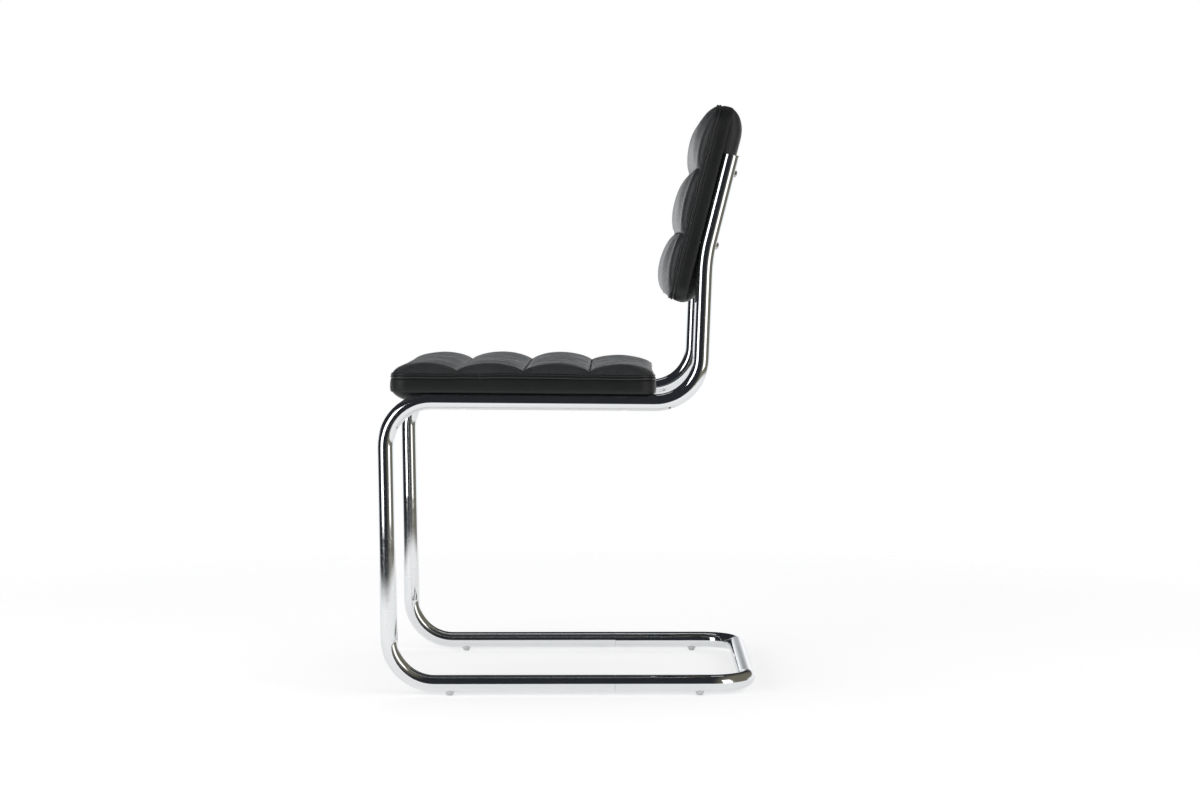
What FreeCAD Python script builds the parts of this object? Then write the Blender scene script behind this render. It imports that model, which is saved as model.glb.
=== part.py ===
import FreeCAD, Part
import math
import os
from FreeCAD import Placement, Rotation, Vector

# Cantilever side chair: a chromed bent-tube frame that carries a channelled seat pad and back pad.
# Millimetres. +Z is up, the chair faces -X, and the sitter's left side is at -Y.
# The origin is on the floor, halfway between the frame's front, rear and outer faces.

# Frame sizes
TUBE_D = 25.0
TUBE_WALL = 2.0
FRAME_DEPTH = 556.0
FRAME_WIDTH = 450.0
SIDE_BEND_R = 67.0
BASE_CORNER_R = 55.0
BACK_BEND_R = 220.0
GLIDE_H = 5.0
SEAT_RAIL_Z = 432.0
UPRIGHT_X = 194.2
BACK_BEND_Z = 643.5
BACK_RUN = 153.2
LEG_LEAN = 0.65
SEAT_SLOPE = 0.56
UPRIGHT_LEAN = 2.3
BACK_LEAN = 14.3

# Joints in the floor frame, one in each rail
JOINT_X = 70.0
SLEEVE_LENGTH = 80.0
SLEEVE_WALL = 3.0
JOINT_SCREW_D = 4.0
JOINT_HEAD_D = 7.6
JOINT_HEAD_SINK = 0.7
JOINT_SCREW_SPACING = 40.0
JOINT_BREAK = 0.5

# Glides and tube end caps
GLIDE_FRONT_X = -173.5
GLIDE_REAR_X = 194.5
GLIDE_TOP_D = 13.0
GLIDE_FOOT_D = 9.0
GLIDE_STEM_D = 6.0
GLIDE_BARB_D = 7.4
GLIDE_SADDLE_H = 2.5
GLIDE_EDGE = 0.6
GLIDE_STEM_H = 5.0
END_CAP_T = 2.5
END_CAP_PLUG = 12.0
END_CAP_BEVEL = 1.0
END_CAP_EDGE_R = 1.8

# Pads
PAD_WIDTH = 450.0
PAD_CORNER_R = 24.0
SIDE_DRAW_IN = 2.5
LEATHER = 1.5
BOARD_T = 10.0
PIPING_D = 5.0
PIPING_INSET = 1.5
BELLY_WIDTH = 397.0
BELLY_SIDE_TURN = 13.0
BELLY_END_ROLL = 44.0
BELLY_END_SHARE = 0.52
BELLY_RIM = 6.0
CHANNEL_DEPTH = 15.0
CROWN = 2.0
PUFF_TURN = 9.0
PUFF_SQUARENESS = 3.0
EDGE_RISE = 0.3
INNER_STATIONS = (-0.6, -0.3, 0.0, 0.3, 0.6)
PUFF_TURN_ANGLES = (12, 35, 60, 90)
BELLY_TURN_ANGLES = (20, 40, 65, 90)
SEAT_LENGTH = 387.5
SEAT_CENTRE_X = -64.2
SEAT_CHANNELS = 4
SEAT_PIPING_H = 22.5
SEAT_CREST_H = 43.0
SEAT_BELLY_DEPTH = 16.5
BACK_LENGTH = 290.0
BACK_CENTRE = 73.3
BACK_CHANNELS = 3
BACK_PIPING_H = 20.0
BACK_CREST_H = 43.0
BACK_BELLY_DEPTH = 19.4

# Fixings
SCREW_TIP = 1.0
SCREW_D = 6.0
SCREW_HOLE_D = 7.0
PAN_HEAD_D = 10.5
PAN_HEAD_H = 3.6
FLUSH_HEAD_D = 11.0
FLUSH_SINK = 1.3
DIMPLE_DEPTH = 1.3
DIMPLE_LENGTH = 11.5
DIMPLE_FLARE = 3.0
NUT_BARREL_D = 8.0
NUT_FLANGE_D = 17.0
NUT_FLANGE_T = 1.5
NUT_CLEAR = 1.0
SCREW_PROUD = 2.0
SEAT_SCREW_AT = (-150.0, 85.0)
BACK_SCREW_AT = (19.2, 126.9)

# Worked out from the sizes above
TUBE_R = TUBE_D / 2
BORE_R = TUBE_R - TUBE_WALL
SIDE_Y = (FRAME_WIDTH - TUBE_D) / 2
RAIL_Z = GLIDE_H + TUBE_R
FRONT_X = -FRAME_DEPTH / 2
CROSSBAR_X = FRAME_DEPTH / 2 - TUBE_R
SIDES = {"left": -SIDE_Y, "right": SIDE_Y}

X_AXIS = Vector(1, 0, 0)
Y_AXIS = Vector(0, 1, 0)
Z_AXIS = Vector(0, 0, 1)
ORIGIN = Vector(0, 0, 0)


def upward(lean):
    """Direction in the side view that leans back from the vertical by this many degrees."""
    return Vector(math.sin(math.radians(lean)), 0, math.cos(math.radians(lean)))


def rearward(slope):
    """Direction in the side view that falls to the rear by this many degrees."""
    return Vector(math.cos(math.radians(slope)), 0, -math.sin(math.radians(slope)))


def meet(point_a, along_a, point_b, along_b):
    """Where two lines of the side view cross."""
    gap = point_b - point_a
    across = along_a.x * along_b.z - along_a.z * along_b.x
    reach = (gap.x * along_b.z - gap.z * along_b.x) / across
    return point_a + along_a * reach


# Path of a side tube

def side_corners():
    """Corner points of a side tube's centreline, from the floor joint to the top of the back."""
    leg = upward(-LEG_LEAN)
    rail = rearward(SEAT_SLOPE)
    rail_point = Vector(0, 0, SEAT_RAIL_Z)
    bend_x = FRONT_X + TUBE_R + SIDE_BEND_R
    bend_z = SEAT_RAIL_Z + rail.z / rail.x * bend_x - SIDE_BEND_R / rail.x
    leg_point = Vector(bend_x - SIDE_BEND_R / leg.z, 0, bend_z)
    floor_point = Vector(0, 0, RAIL_Z)
    upright_point = Vector(UPRIGHT_X, 0, SEAT_RAIL_Z)
    floor_front = meet(floor_point, X_AXIS, leg_point, leg)
    seat_front = meet(leg_point, leg, rail_point, rail)
    seat_rear = meet(rail_point, rail, upright_point, upward(UPRIGHT_LEAN))
    rise = upward(UPRIGHT_LEAN)
    back_bend = seat_rear + rise * ((BACK_BEND_Z - seat_rear.z) / rise.z)
    top = back_bend + upward(BACK_LEAN) * (BACK_RUN - END_CAP_T)
    return [Vector(JOINT_X, 0, RAIL_Z), floor_front, seat_front, seat_rear, back_bend, top]


def rounded_path(corners, radii):
    """Wire of straight runs joined by tangent arcs, one radius for each inner corner."""
    edges = []
    start = corners[0]
    for before, corner, after, radius in zip(corners, corners[1:], corners[2:], radii):
        back = (before - corner).normalize()
        ahead = (after - corner).normalize()
        half_angle = back.getAngle(ahead) / 2
        setback = radius / math.tan(half_angle)
        middle = (back + ahead).normalize()
        centre = corner + middle * (radius / math.sin(half_angle))
        arc_start = corner + back * setback
        arc_end = corner + ahead * setback
        edges.append(Part.LineSegment(start, arc_start).toShape())
        edges.append(Part.Arc(arc_start, centre - middle * radius, arc_end).toShape())
        start = arc_end
    edges.append(Part.LineSegment(start, corners[-1]).toShape())
    return Part.Wire(edges)


def bent_tube(corners, radii):
    path = rounded_path(corners, radii)
    along = corners[1] - corners[0]
    outside = Part.Wire(Part.makeCircle(TUBE_R, corners[0], along))
    inside = Part.Wire(Part.makeCircle(BORE_R, corners[0], along))
    return path.makePipeShell([outside], True, False).cut(path.makePipeShell([inside], True, False))


SIDE_CORNERS = side_corners()
BACK_BEND = SIDE_CORNERS[4]
TUBE_TOP = SIDE_CORNERS[5]


# Places of the two pads: x runs along the pad, y across it, z out towards the sitter,
# and z = 0 is the line along the tubes that the pad sits on

def pad_frame(origin, along, outward):
    return Placement(origin, Rotation(along, Y_AXIS, outward, "XZY"))


SEAT_ALONG = rearward(SEAT_SLOPE)
SEAT_OUT = upward(SEAT_SLOPE)
BACK_ALONG = upward(BACK_LEAN)
BACK_OUT = rearward(BACK_LEAN) * -1
SEAT_FRAME = pad_frame(Vector(0, 0, SEAT_RAIL_Z) + SEAT_OUT * TUBE_R, SEAT_ALONG, SEAT_OUT)
BACK_FRAME = pad_frame(BACK_BEND + BACK_OUT * TUBE_R, BACK_ALONG, BACK_OUT)


def turned(profile, centre=ORIGIN, axis=Z_AXIS):
    """Solid of revolution from a profile of (radius, height) points, set along an axis."""
    points = [Vector(radius, 0, height) for radius, height in profile]
    face = Part.Face(Part.makePolygon(points + points[:1]))
    solid = face.revolve(ORIGIN, Z_AXIS, 360)
    solid.Placement = Placement(centre, Rotation(Z_AXIS, axis))
    return solid


# Screws, nuts and the holes that they need

def screw_tip(radius, length):
    """Last points of a screw's profile: a straight shank with a bevelled end."""
    return [(radius, length - SCREW_TIP), (radius - SCREW_TIP, length), (0, length)]


def flush_screw(length, diameter, head_d):
    """Countersunk screw along +Z, with its head's face at z = 0."""
    radius = diameter / 2
    head_h = (head_d - diameter) / 2
    profile = [(0, 0), (head_d / 2, 0), (radius, head_h)]
    return turned(profile + screw_tip(radius, length))


def pan_screw(length):
    """Pan-head screw along +Z, with the underside of its head at z = 0."""
    radius = SCREW_D / 2
    head_r = PAN_HEAD_D / 2
    rim = PAN_HEAD_H * 0.45
    profile = [(0, -PAN_HEAD_H), (head_r * 0.6, -PAN_HEAD_H), (head_r, -rim), (head_r, 0), (radius, 0)]
    return turned(profile + screw_tip(radius, length))


def tee_nut():
    """Flanged nut pressed down into the board from its padded face, which is at z = 0."""
    barrel = NUT_BARREL_D / 2
    flange = NUT_FLANGE_D / 2
    bore = SCREW_D / 2
    depth = BOARD_T - NUT_CLEAR
    profile = [(bore, -depth), (barrel, -depth), (barrel, 0), (flange, 0)]
    return turned(profile + [(flange, NUT_FLANGE_T), (bore, NUT_FLANGE_T)])


def pad_points(frame, stations, height):
    """Fixing points of a pad, over both side tubes, at a height in the pad's frame."""
    return [frame.multVec(Vector(x, y, height)) for x in stations for y in SIDES.values()]


def set_on(shape, points, axis):
    """Group of copies of a shape, one at each point, turned along an axis."""
    placed = []
    for point in points:
        copy = shape.copy()
        copy.Placement = Placement(point, Rotation(Z_AXIS, axis))
        placed.append(copy)
    return placed


BOARD_TOP = LEATHER + BOARD_T
UNDER_TUBE = -TUBE_D
DIMPLE_FLOOR = UNDER_TUBE + DIMPLE_DEPTH
SCREW_END = BOARD_TOP + NUT_FLANGE_T + SCREW_PROUD


def seat_screws():
    head_face = UNDER_TUBE + FLUSH_SINK
    screw = flush_screw(SCREW_END - head_face, SCREW_D, FLUSH_HEAD_D)
    return set_on(screw, pad_points(SEAT_FRAME, SEAT_SCREW_AT, head_face), SEAT_OUT)


def back_screws():
    screw = pan_screw(SCREW_END - DIMPLE_FLOOR)
    return set_on(screw, pad_points(BACK_FRAME, BACK_SCREW_AT, DIMPLE_FLOOR), BACK_OUT)


def tee_nuts(frame, stations, outward):
    return set_on(tee_nut(), pad_points(frame, stations, BOARD_TOP), outward)


def clearance_bores(frame, stations, outward):
    """Holes right through both side tubes at the fixing points of a pad."""
    points = pad_points(frame, stations, UNDER_TUBE)
    return [Part.makeCylinder(SCREW_HOLE_D / 2, TUBE_D + 2, point - outward, outward) for point in points]


def countersinks():
    """Seats for the flush screw heads in the underside of the seat rails."""
    tools = []
    for point in pad_points(SEAT_FRAME, SEAT_SCREW_AT, UNDER_TUBE):
        well = Part.makeCylinder(FLUSH_HEAD_D / 2, FLUSH_SINK + 1, point - SEAT_OUT, SEAT_OUT)
        depth = (FLUSH_HEAD_D - SCREW_D) / 2
        cone = Part.makeCone(FLUSH_HEAD_D / 2, SCREW_D / 2, depth, point + SEAT_OUT * FLUSH_SINK, SEAT_OUT)
        tools.append(well.fuse(cone))
    return tools


def dimples():
    """Flat dimples across the back of the uprights, with sloping ends, for the pan heads."""
    tools = []
    half = DIMPLE_LENGTH / 2
    for x in BACK_SCREW_AT:
        profile = [(x - half, DIMPLE_DEPTH), (x + half, DIMPLE_DEPTH)]
        profile += [(x + half + DIMPLE_FLARE, -DIMPLE_DEPTH), (x - half - DIMPLE_FLARE, -DIMPLE_DEPTH)]
        corners = [Vector(along, -FRAME_WIDTH, UNDER_TUBE + depth) for along, depth in profile]
        groove = Part.Face(Part.makePolygon(corners + corners[:1])).extrude(Y_AXIS * FRAME_WIDTH * 2)
        groove.Placement = BACK_FRAME
        tools.append(groove)
    return tools


def joint_screw_points(y):
    offset = JOINT_SCREW_SPACING / 2
    return [Vector(JOINT_X + step, y, GLIDE_H + JOINT_HEAD_SINK) for step in (-offset, offset)]


def joint_screws(ys):
    screw = flush_screw(TUBE_WALL + SLEEVE_WALL, JOINT_SCREW_D, JOINT_HEAD_D)
    return set_on(screw, [point for y in ys for point in joint_screw_points(y)], Z_AXIS)


def joint_screw_room(y):
    """Space of the two joint screws of one rail, run on downwards out of the tube."""
    tools = joint_screws([y])
    for point in joint_screw_points(y):
        tools.append(Part.makeCylinder(JOINT_HEAD_D / 2, GLIDE_H, point - Z_AXIS * GLIDE_H))
    return tools


def joint_break(y):
    """Ring that breaks the outer edge of a tube's end at the joint of a rail."""
    reach = JOINT_BREAK
    profile = [(TUBE_R - reach, 0), (TUBE_R + reach, 2 * reach), (TUBE_R + reach, -2 * reach)]
    return turned(profile, Vector(JOINT_X, y, RAIL_Z), X_AXIS)


# Frame pieces

def glide_hole(x, y):
    return Part.makeCylinder(GLIDE_STEM_D / 2, TUBE_WALL + 2, Vector(x, y, GLIDE_H - 1))


def side_tube(y):
    """One tube from the floor joint forward, up the leg, back under the seat and up the back."""
    bends = (SIDE_BEND_R, SIDE_BEND_R, SIDE_BEND_R, BACK_BEND_R)
    tube = bent_tube(SIDE_CORNERS, bends).translated(Vector(0, y, 0))
    tools = clearance_bores(SEAT_FRAME, SEAT_SCREW_AT, SEAT_OUT) + countersinks()
    tools += clearance_bores(BACK_FRAME, BACK_SCREW_AT, BACK_OUT) + dimples()
    tools = [tool for tool in tools if tool.BoundBox.intersect(tube.BoundBox)]
    return tube.cut(tools + [glide_hole(GLIDE_FRONT_X, y), joint_break(y)] + joint_screw_room(y))


def rear_base_tube():
    """Tube that closes the floor frame: back along one rail, across the rear and forward again."""
    corners = [Vector(JOINT_X, -SIDE_Y, RAIL_Z), Vector(CROSSBAR_X, -SIDE_Y, RAIL_Z)]
    corners += [Vector(CROSSBAR_X, SIDE_Y, RAIL_Z), Vector(JOINT_X, SIDE_Y, RAIL_Z)]
    tube = bent_tube(corners, (BASE_CORNER_R, BASE_CORNER_R))
    tools = []
    for y in SIDES.values():
        tools += [glide_hole(GLIDE_REAR_X, y), joint_break(y)]
        tools += joint_screw_room(y)
    return tube.cut(tools)


def joint_sleeve(y):
    """Sleeve inside a rail that bridges the joint of the side tube and the rear base tube."""
    start = Vector(JOINT_X - SLEEVE_LENGTH / 2, y, RAIL_Z)
    sleeve = Part.makeCylinder(BORE_R, SLEEVE_LENGTH, start, X_AXIS)
    sleeve = sleeve.cut(Part.makeCylinder(BORE_R - SLEEVE_WALL, SLEEVE_LENGTH, start, X_AXIS))
    return sleeve.cut(joint_screw_room(y))


def end_cap(y):
    """Turned cap on the open top of a side tube: a rim as wide as the tube and a plug inside it."""
    neck = BORE_R - END_CAP_BEVEL
    profile = [(0, -END_CAP_PLUG), (neck, -END_CAP_PLUG), (BORE_R, END_CAP_BEVEL - END_CAP_PLUG)]
    profile += [(BORE_R, 0), (TUBE_R, 0), (TUBE_R, END_CAP_T), (0, END_CAP_T)]
    solid = turned(profile)
    rim = [edge for edge in solid.Edges if edge.BoundBox.ZMin > END_CAP_T / 2 and edge.Closed]
    solid = solid.makeFillet(END_CAP_EDGE_R, rim[:1])
    solid.Placement = Placement(TUBE_TOP + Vector(0, y, 0), Rotation(Z_AXIS, BACK_ALONG))
    return solid


def floor_glide(x, y):
    """Plastic glide under a rail: a tapered foot saddled to the tube and a barbed stem in its hole."""
    foot = GLIDE_FOOT_D / 2
    top = GLIDE_TOP_D / 2
    saddle = GLIDE_H + GLIDE_SADDLE_H
    collar = GLIDE_H - GLIDE_EDGE
    profile = [(0, 0), (foot - GLIDE_EDGE, 0), (foot, GLIDE_EDGE), (top, collar), (top, saddle), (0, saddle)]
    body = turned(profile)
    body = body.cut(Part.makeCylinder(TUBE_R, GLIDE_TOP_D * 2, Vector(-GLIDE_TOP_D, 0, RAIL_Z), X_AXIS))
    stem = GLIDE_STEM_D / 2
    inside = GLIDE_H + TUBE_WALL + GLIDE_EDGE
    tip = inside + GLIDE_STEM_H
    profile = [(0, collar), (stem, collar), (stem, inside), (GLIDE_BARB_D / 2, inside + GLIDE_EDGE)]
    barb = turned(profile + [(stem - GLIDE_EDGE, tip), (0, tip)])
    return body.fuse(barb).removeSplitter().translated(Vector(x, y, 0))


# Pad outline: a rectangle with round corners, whose four sides draw in between them

def outline_circles(half_length, half_width):
    """Corner circle centre, and the middle offset and radius of the long and cross side arcs."""
    corner = Vector(half_length - PAD_CORNER_R, half_width - PAD_CORNER_R, 0)
    side_r = corner.x ** 2 / (2 * SIDE_DRAW_IN)
    end_r = corner.y ** 2 / (2 * SIDE_DRAW_IN)
    side_y = corner.y + math.sqrt((PAD_CORNER_R + side_r) ** 2 - corner.x ** 2)
    end_x = corner.x + math.sqrt((PAD_CORNER_R + end_r) ** 2 - corner.y ** 2)
    return corner, Vector(0, side_y, 0), side_r, Vector(end_x, 0, 0), end_r


def pad_outline(half_length, half_width, inset=0.0):
    """Closed outline of eight tangent arcs, drawn inwards by an even inset."""
    corner, side_c, side_r, end_c, end_r = outline_circles(half_length, half_width)
    corner_r = PAD_CORNER_R - inset
    to_side = (side_c - corner).normalize() * corner_r
    to_end = (end_c - corner).normalize() * corner_r
    bisector = (to_side + to_end).normalize() * corner_r
    side_mid = Vector(0, side_c.y - side_r - inset, 0)
    end_mid = Vector(end_c.x - end_r - inset, 0, 0)

    def quarter(sx, sy):
        return [Vector(sx * p.x, sy * p.y, 0) for p in (corner + to_end, corner + bisector, corner + to_side)]

    edges = []
    turns = ((1, 1), (-1, 1), (-1, -1), (1, -1))
    for step, (sx, sy) in enumerate(turns):
        points = quarter(sx, sy)
        follower = quarter(*turns[(step + 1) % 4])
        if step % 2 == 0:
            middle = Vector(0, sy * side_mid.y, 0)
            arrival = follower[-1]
        else:
            points.reverse()
            middle = Vector(sx * end_mid.x, 0, 0)
            arrival = follower[0]
        edges.append(Part.Arc(*points).toShape())
        edges.append(Part.Arc(points[-1], middle, arrival).toShape())
    return Part.Wire(edges)


def drawn_in_half(y, half_length, half_width):
    """Half length at this distance across the pad, along the drawn-in ends run on past the corners."""
    _, _, _, end_c, end_r = outline_circles(half_length, half_width)
    return end_c.x - math.sqrt(end_r ** 2 - y ** 2)


def quarter_turn(width, squareness, angles):
    """Points of a squared-off quarter round as (distance from the edge, share of the full height)."""
    power = 2 / squareness
    turns = [math.radians(angle) for angle in angles]
    return [(width * (1 - abs(math.cos(turn)) ** power), math.sin(turn) ** power) for turn in turns]


def across_pad(edge, turn):
    """Stations from one side of a pad to the other as (y, share of the full height)."""
    near = [(edge - distance, rise) for distance, rise in turn]
    middle = [(y * edge, 1.0) for y in INNER_STATIONS]
    return [(-y, rise) for y, rise in near] + middle + near[::-1]


class Pad:
    """One pad: its half sizes, channels, heights of piping and crest above the tubes, and belly depth."""

    def __init__(self, length, channels, heights, frame, centre):
        self.half_length = length / 2
        self.half_width = PAD_WIDTH / 2
        self.channels = channels
        self.piping_h, self.crest_h, self.belly_depth = heights
        self.place = frame.multiply(Placement(Vector(centre, 0, 0), Rotation()))

    def slab(self, inset, bottom, top):
        wire = pad_outline(self.half_length, self.half_width, inset)
        wire.translate(Vector(0, 0, bottom))
        return Part.Face(wire).extrude(Vector(0, 0, top - bottom))

    def put(self, shape):
        shape = shape.copy()
        shape.Placement = self.place.multiply(shape.Placement)
        return shape


SEAT_HEIGHTS = (SEAT_PIPING_H, SEAT_CREST_H, SEAT_BELLY_DEPTH)
BACK_HEIGHTS = (BACK_PIPING_H, BACK_CREST_H, BACK_BELLY_DEPTH)
SEAT = Pad(SEAT_LENGTH, SEAT_CHANNELS, SEAT_HEIGHTS, SEAT_FRAME, SEAT_CENTRE_X)
BACK = Pad(BACK_LENGTH, BACK_CHANNELS, BACK_HEIGHTS, BACK_FRAME, BACK_CENTRE)


# Channelled top of a pad

def channel_section(pad, y, inset, fullness):
    """Cross-line of the puffed top at one place across the pad: an arc for each channel."""
    base = pad.piping_h + PIPING_D / 2
    valley = base + max((pad.crest_h - CHANNEL_DEPTH - base) * fullness - inset, EDGE_RISE)
    crown = CROWN * (1 - (y / pad.half_width) ** 2)
    crest = base + max((pad.crest_h + crown - base) * fullness - inset, 2 * EDGE_RISE)
    reach = drawn_in_half(y, pad.half_length, pad.half_width) - inset
    pitch = 2 * pad.half_length / pad.channels
    joints = [(step - pad.channels / 2) * pitch for step in range(pad.channels + 1)]
    joints[0] = -reach
    joints[-1] = reach
    heights = [base + EDGE_RISE] + [valley] * (pad.channels - 1) + [base + EDGE_RISE]
    points = [Vector(x, y, z) for x, z in zip(joints, heights)]
    edges = []
    for start, end in zip(points, points[1:]):
        middle = Vector((start.x + end.x) / 2, y, crest)
        edges.append(Part.Arc(start, middle, end).toShape())
    right = Vector(reach, y, base)
    left = Vector(-reach, y, base)
    edges.append(Part.LineSegment(points[-1], right).toShape())
    edges.append(Part.LineSegment(right, left).toShape())
    edges.append(Part.LineSegment(left, points[0]).toShape())
    return Part.Wire(edges)


def channelled_top(pad, inset):
    """Puffed top from the piping to the crests: lofted across the pad and trimmed to the outline."""
    edge = pad.half_width - inset
    turn = quarter_turn(PUFF_TURN, PUFF_SQUARENESS, PUFF_TURN_ANGLES)
    stations = across_pad(edge, turn)
    sections = [channel_section(pad, y, inset, rise) for y, rise in stations]
    return Part.makeLoft(sections, True, True).common(pad.slab(inset, 0, 2 * pad.crest_h))


def top_cover(pad):
    """Leather over the channels, open underneath to the foam."""
    return channelled_top(pad, 0).cut(channelled_top(pad, LEATHER))


def boxing(pad):
    """Upright leather band round the pad, from the tubes to the piping."""
    top = pad.piping_h - PIPING_D / 2
    return pad.slab(0, 0, top).cut(pad.slab(LEATHER, 0, top))


def piping(pad):
    """Round welt cord that follows the whole upper edge of the band."""
    path = pad_outline(pad.half_length, pad.half_width, PIPING_INSET)
    path.translate(Vector(0, 0, pad.piping_h))
    start = path.Edges[0].valueAt(path.Edges[0].FirstParameter)
    along = path.Edges[0].tangentAt(path.Edges[0].FirstParameter)
    section = Part.Wire(Part.makeCircle(PIPING_D / 2, start, along))
    return path.makePipeShell([section], True, False)


def foam(pad, nuts):
    """Foam from the board up into the channels, with pockets for the nuts."""
    bottom = pad.piping_h - PIPING_D / 2
    top = pad.piping_h + PIPING_D / 2
    block = pad.slab(LEATHER, BOARD_TOP, bottom)
    block = block.fuse(pad.slab(PIPING_INSET + PIPING_D / 2, bottom, top))
    block = block.fuse(channelled_top(pad, LEATHER)).removeSplitter()
    return pad.put(block).cut(nuts)


def board(pad, nuts, screws):
    return pad.put(pad.slab(LEATHER, LEATHER, BOARD_TOP)).cut(nuts + screws)


def belly_section(pad, y, inset, fullness):
    """Line along the belly: flat in the middle, with each end rolled up in two tangent arcs."""
    depth = max(pad.belly_depth * fullness - inset, EDGE_RISE)
    reach = drawn_in_half(y, pad.half_length, pad.half_width) - inset
    tight = depth * BELLY_END_SHARE
    wide = ((BELLY_END_ROLL - tight) ** 2 + depth ** 2 - tight ** 2) / (2 * (depth - tight))
    tight_c = Vector(reach - tight, y, 0)
    wide_c = Vector(reach - BELLY_END_ROLL, y, wide - depth)
    outward = (tight_c - wide_c).normalize()
    change = tight_c + outward * tight
    low = Vector(wide_c.x, y, -depth)
    top = Vector(reach, y, 0)
    tight_mid = tight_c + (outward + X_AXIS).normalize() * tight
    wide_mid = wide_c + (outward - Z_AXIS).normalize() * wide

    def mirrored(point):
        return Vector(-point.x, point.y, point.z)

    right = [Part.Arc(top, tight_mid, change).toShape(), Part.Arc(change, wide_mid, low).toShape()]
    left = [Part.Arc(mirrored(low), mirrored(wide_mid), mirrored(change)).toShape()]
    left.append(Part.Arc(mirrored(change), mirrored(tight_mid), mirrored(top)).toShape())
    bottom = Part.LineSegment(low, mirrored(low)).toShape()
    lid = Part.LineSegment(mirrored(top), top).toShape()
    return Part.Wire(right + [bottom] + left + [lid])


def belly_form(pad, inset):
    """Rounded underside between the tubes, below the line that the pad sits on."""
    turn = quarter_turn(BELLY_SIDE_TURN, 2, BELLY_TURN_ANGLES)
    stations = across_pad(BELLY_WIDTH / 2 - inset, turn)
    return Part.makeLoft([belly_section(pad, y, inset, rise) for y, rise in stations], True, True)


def belly_filling(pad):
    """Foam of the belly, which rises through the rim of its cover to the board."""
    wire = pad_outline(pad.half_length, BELLY_WIDTH / 2, BELLY_RIM)
    neck = Part.Face(wire).extrude(Vector(0, 0, LEATHER))
    return belly_form(pad, LEATHER).fuse(neck).removeSplitter()


def underside_cover(pad, screws):
    """Leather under the board: a flat rim that lies on the tubes and a rounded belly between them."""
    skin = pad.slab(LEATHER, 0, LEATHER).fuse(belly_form(pad, 0)).removeSplitter()
    return pad.put(skin.cut(belly_filling(pad))).cut(screws)


def underside_foam(pad):
    return pad.put(belly_filling(pad))


# Write every node

def save(name, shapes):
    solids = [solid for shape in shapes for solid in shape.Solids]
    shape = solids[0] if len(solids) == 1 else Part.makeCompound(solids)
    volume = sum(solid.Volume for solid in solids) / 1000
    print(f"{name}: {len(solids)} solid(s), {volume:.1f} cm3, valid {shape.isValid()}")
    shape.exportStep(f"parts/{name}.step")


def main():
    os.makedirs("parts", exist_ok=True)
    for side, y in SIDES.items():
        save(f"{side}_side_tube", [side_tube(y)])
        save(f"{side}_joint_sleeve", [joint_sleeve(y)])
        save(f"{side}_tube_end_cap", [end_cap(y)])
        save(f"front_{side}_glide", [floor_glide(GLIDE_FRONT_X, y)])
        save(f"rear_{side}_glide", [floor_glide(GLIDE_REAR_X, y)])
    save("rear_base_tube", [rear_base_tube()])
    save("joint_screws", joint_screws(SIDES.values()))

    fixings = {"seat": (SEAT, seat_screws(), tee_nuts(SEAT_FRAME, SEAT_SCREW_AT, SEAT_OUT)),
               "back": (BACK, back_screws(), tee_nuts(BACK_FRAME, BACK_SCREW_AT, BACK_OUT))}
    for name, (pad, screws, nuts) in fixings.items():
        save(f"{name}_screws", screws)
        save(f"{name}_tee_nuts", nuts)
        save(f"{name}_board", [board(pad, nuts, screws)])
        save(f"{name}_foam", [foam(pad, nuts + screws)])
        save(f"{name}_underside_foam", [underside_foam(pad)])
        save(f"{name}_top_cover", [pad.put(top_cover(pad))])
        save(f"{name}_boxing", [pad.put(boxing(pad))])
        save(f"{name}_piping", [pad.put(piping(pad))])
        save(f"{name}_underside_cover", [underside_cover(pad, screws)])


main()
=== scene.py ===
import math
import bmesh
import bpy
from mathutils import Matrix, Vector, noise


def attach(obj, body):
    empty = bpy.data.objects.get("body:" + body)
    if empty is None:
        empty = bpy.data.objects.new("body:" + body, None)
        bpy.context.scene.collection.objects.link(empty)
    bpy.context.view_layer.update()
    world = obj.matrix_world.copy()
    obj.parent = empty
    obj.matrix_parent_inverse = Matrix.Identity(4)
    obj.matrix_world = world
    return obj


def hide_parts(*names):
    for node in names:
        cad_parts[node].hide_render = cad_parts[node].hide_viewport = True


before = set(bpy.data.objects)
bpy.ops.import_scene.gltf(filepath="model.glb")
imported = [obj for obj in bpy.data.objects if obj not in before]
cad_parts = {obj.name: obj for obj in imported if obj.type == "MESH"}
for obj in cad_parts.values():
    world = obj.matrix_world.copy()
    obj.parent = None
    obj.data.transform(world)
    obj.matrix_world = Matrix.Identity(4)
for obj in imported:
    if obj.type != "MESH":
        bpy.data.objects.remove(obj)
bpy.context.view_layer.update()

# Sizes of the chair, in metres
TUBE_R = 0.0125
SEAT_RAIL_Z = 0.432
SEAT_SLOPE = 0.56
UPRIGHT_X = 0.1942
UPRIGHT_LEAN = 2.3
BACK_BEND_Z = 0.6435
BACK_LEAN = 14.3

# Sizes that both pads share
PAD_WIDTH = 0.450
CORNER_R = 0.024
DRAW_IN = 0.0025
PIPING_D = 0.005
PIPING_INSET = 0.0015
VALLEY_DROP = 0.015
BELLY_WIDTH = 0.397
BELLY_SIDE_TURN = 0.018
BELLY_END_ROLL = 0.042
BELLY_START = 0.0055
BULGE = 0.0016
ARCH_REACH = 0.085
WOBBLES = ((0.00022, 95, 40, 0.0), (0.00016, -170, 61, 1.0))


# Places of the two pads: x runs along the pad, y across it, z out towards the sitter,
# and z = 0 is the line along the tubes that the pad sits on

def pad_place(origin, along, outward, centre):
    """Matrix that sets a pad, made about its own centre, on the tubes."""
    across = Vector((0, 1, 0))
    turn = Matrix((along, across, outward)).transposed().to_4x4()
    return Matrix.Translation(origin + outward * TUBE_R + along * centre) @ turn


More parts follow.
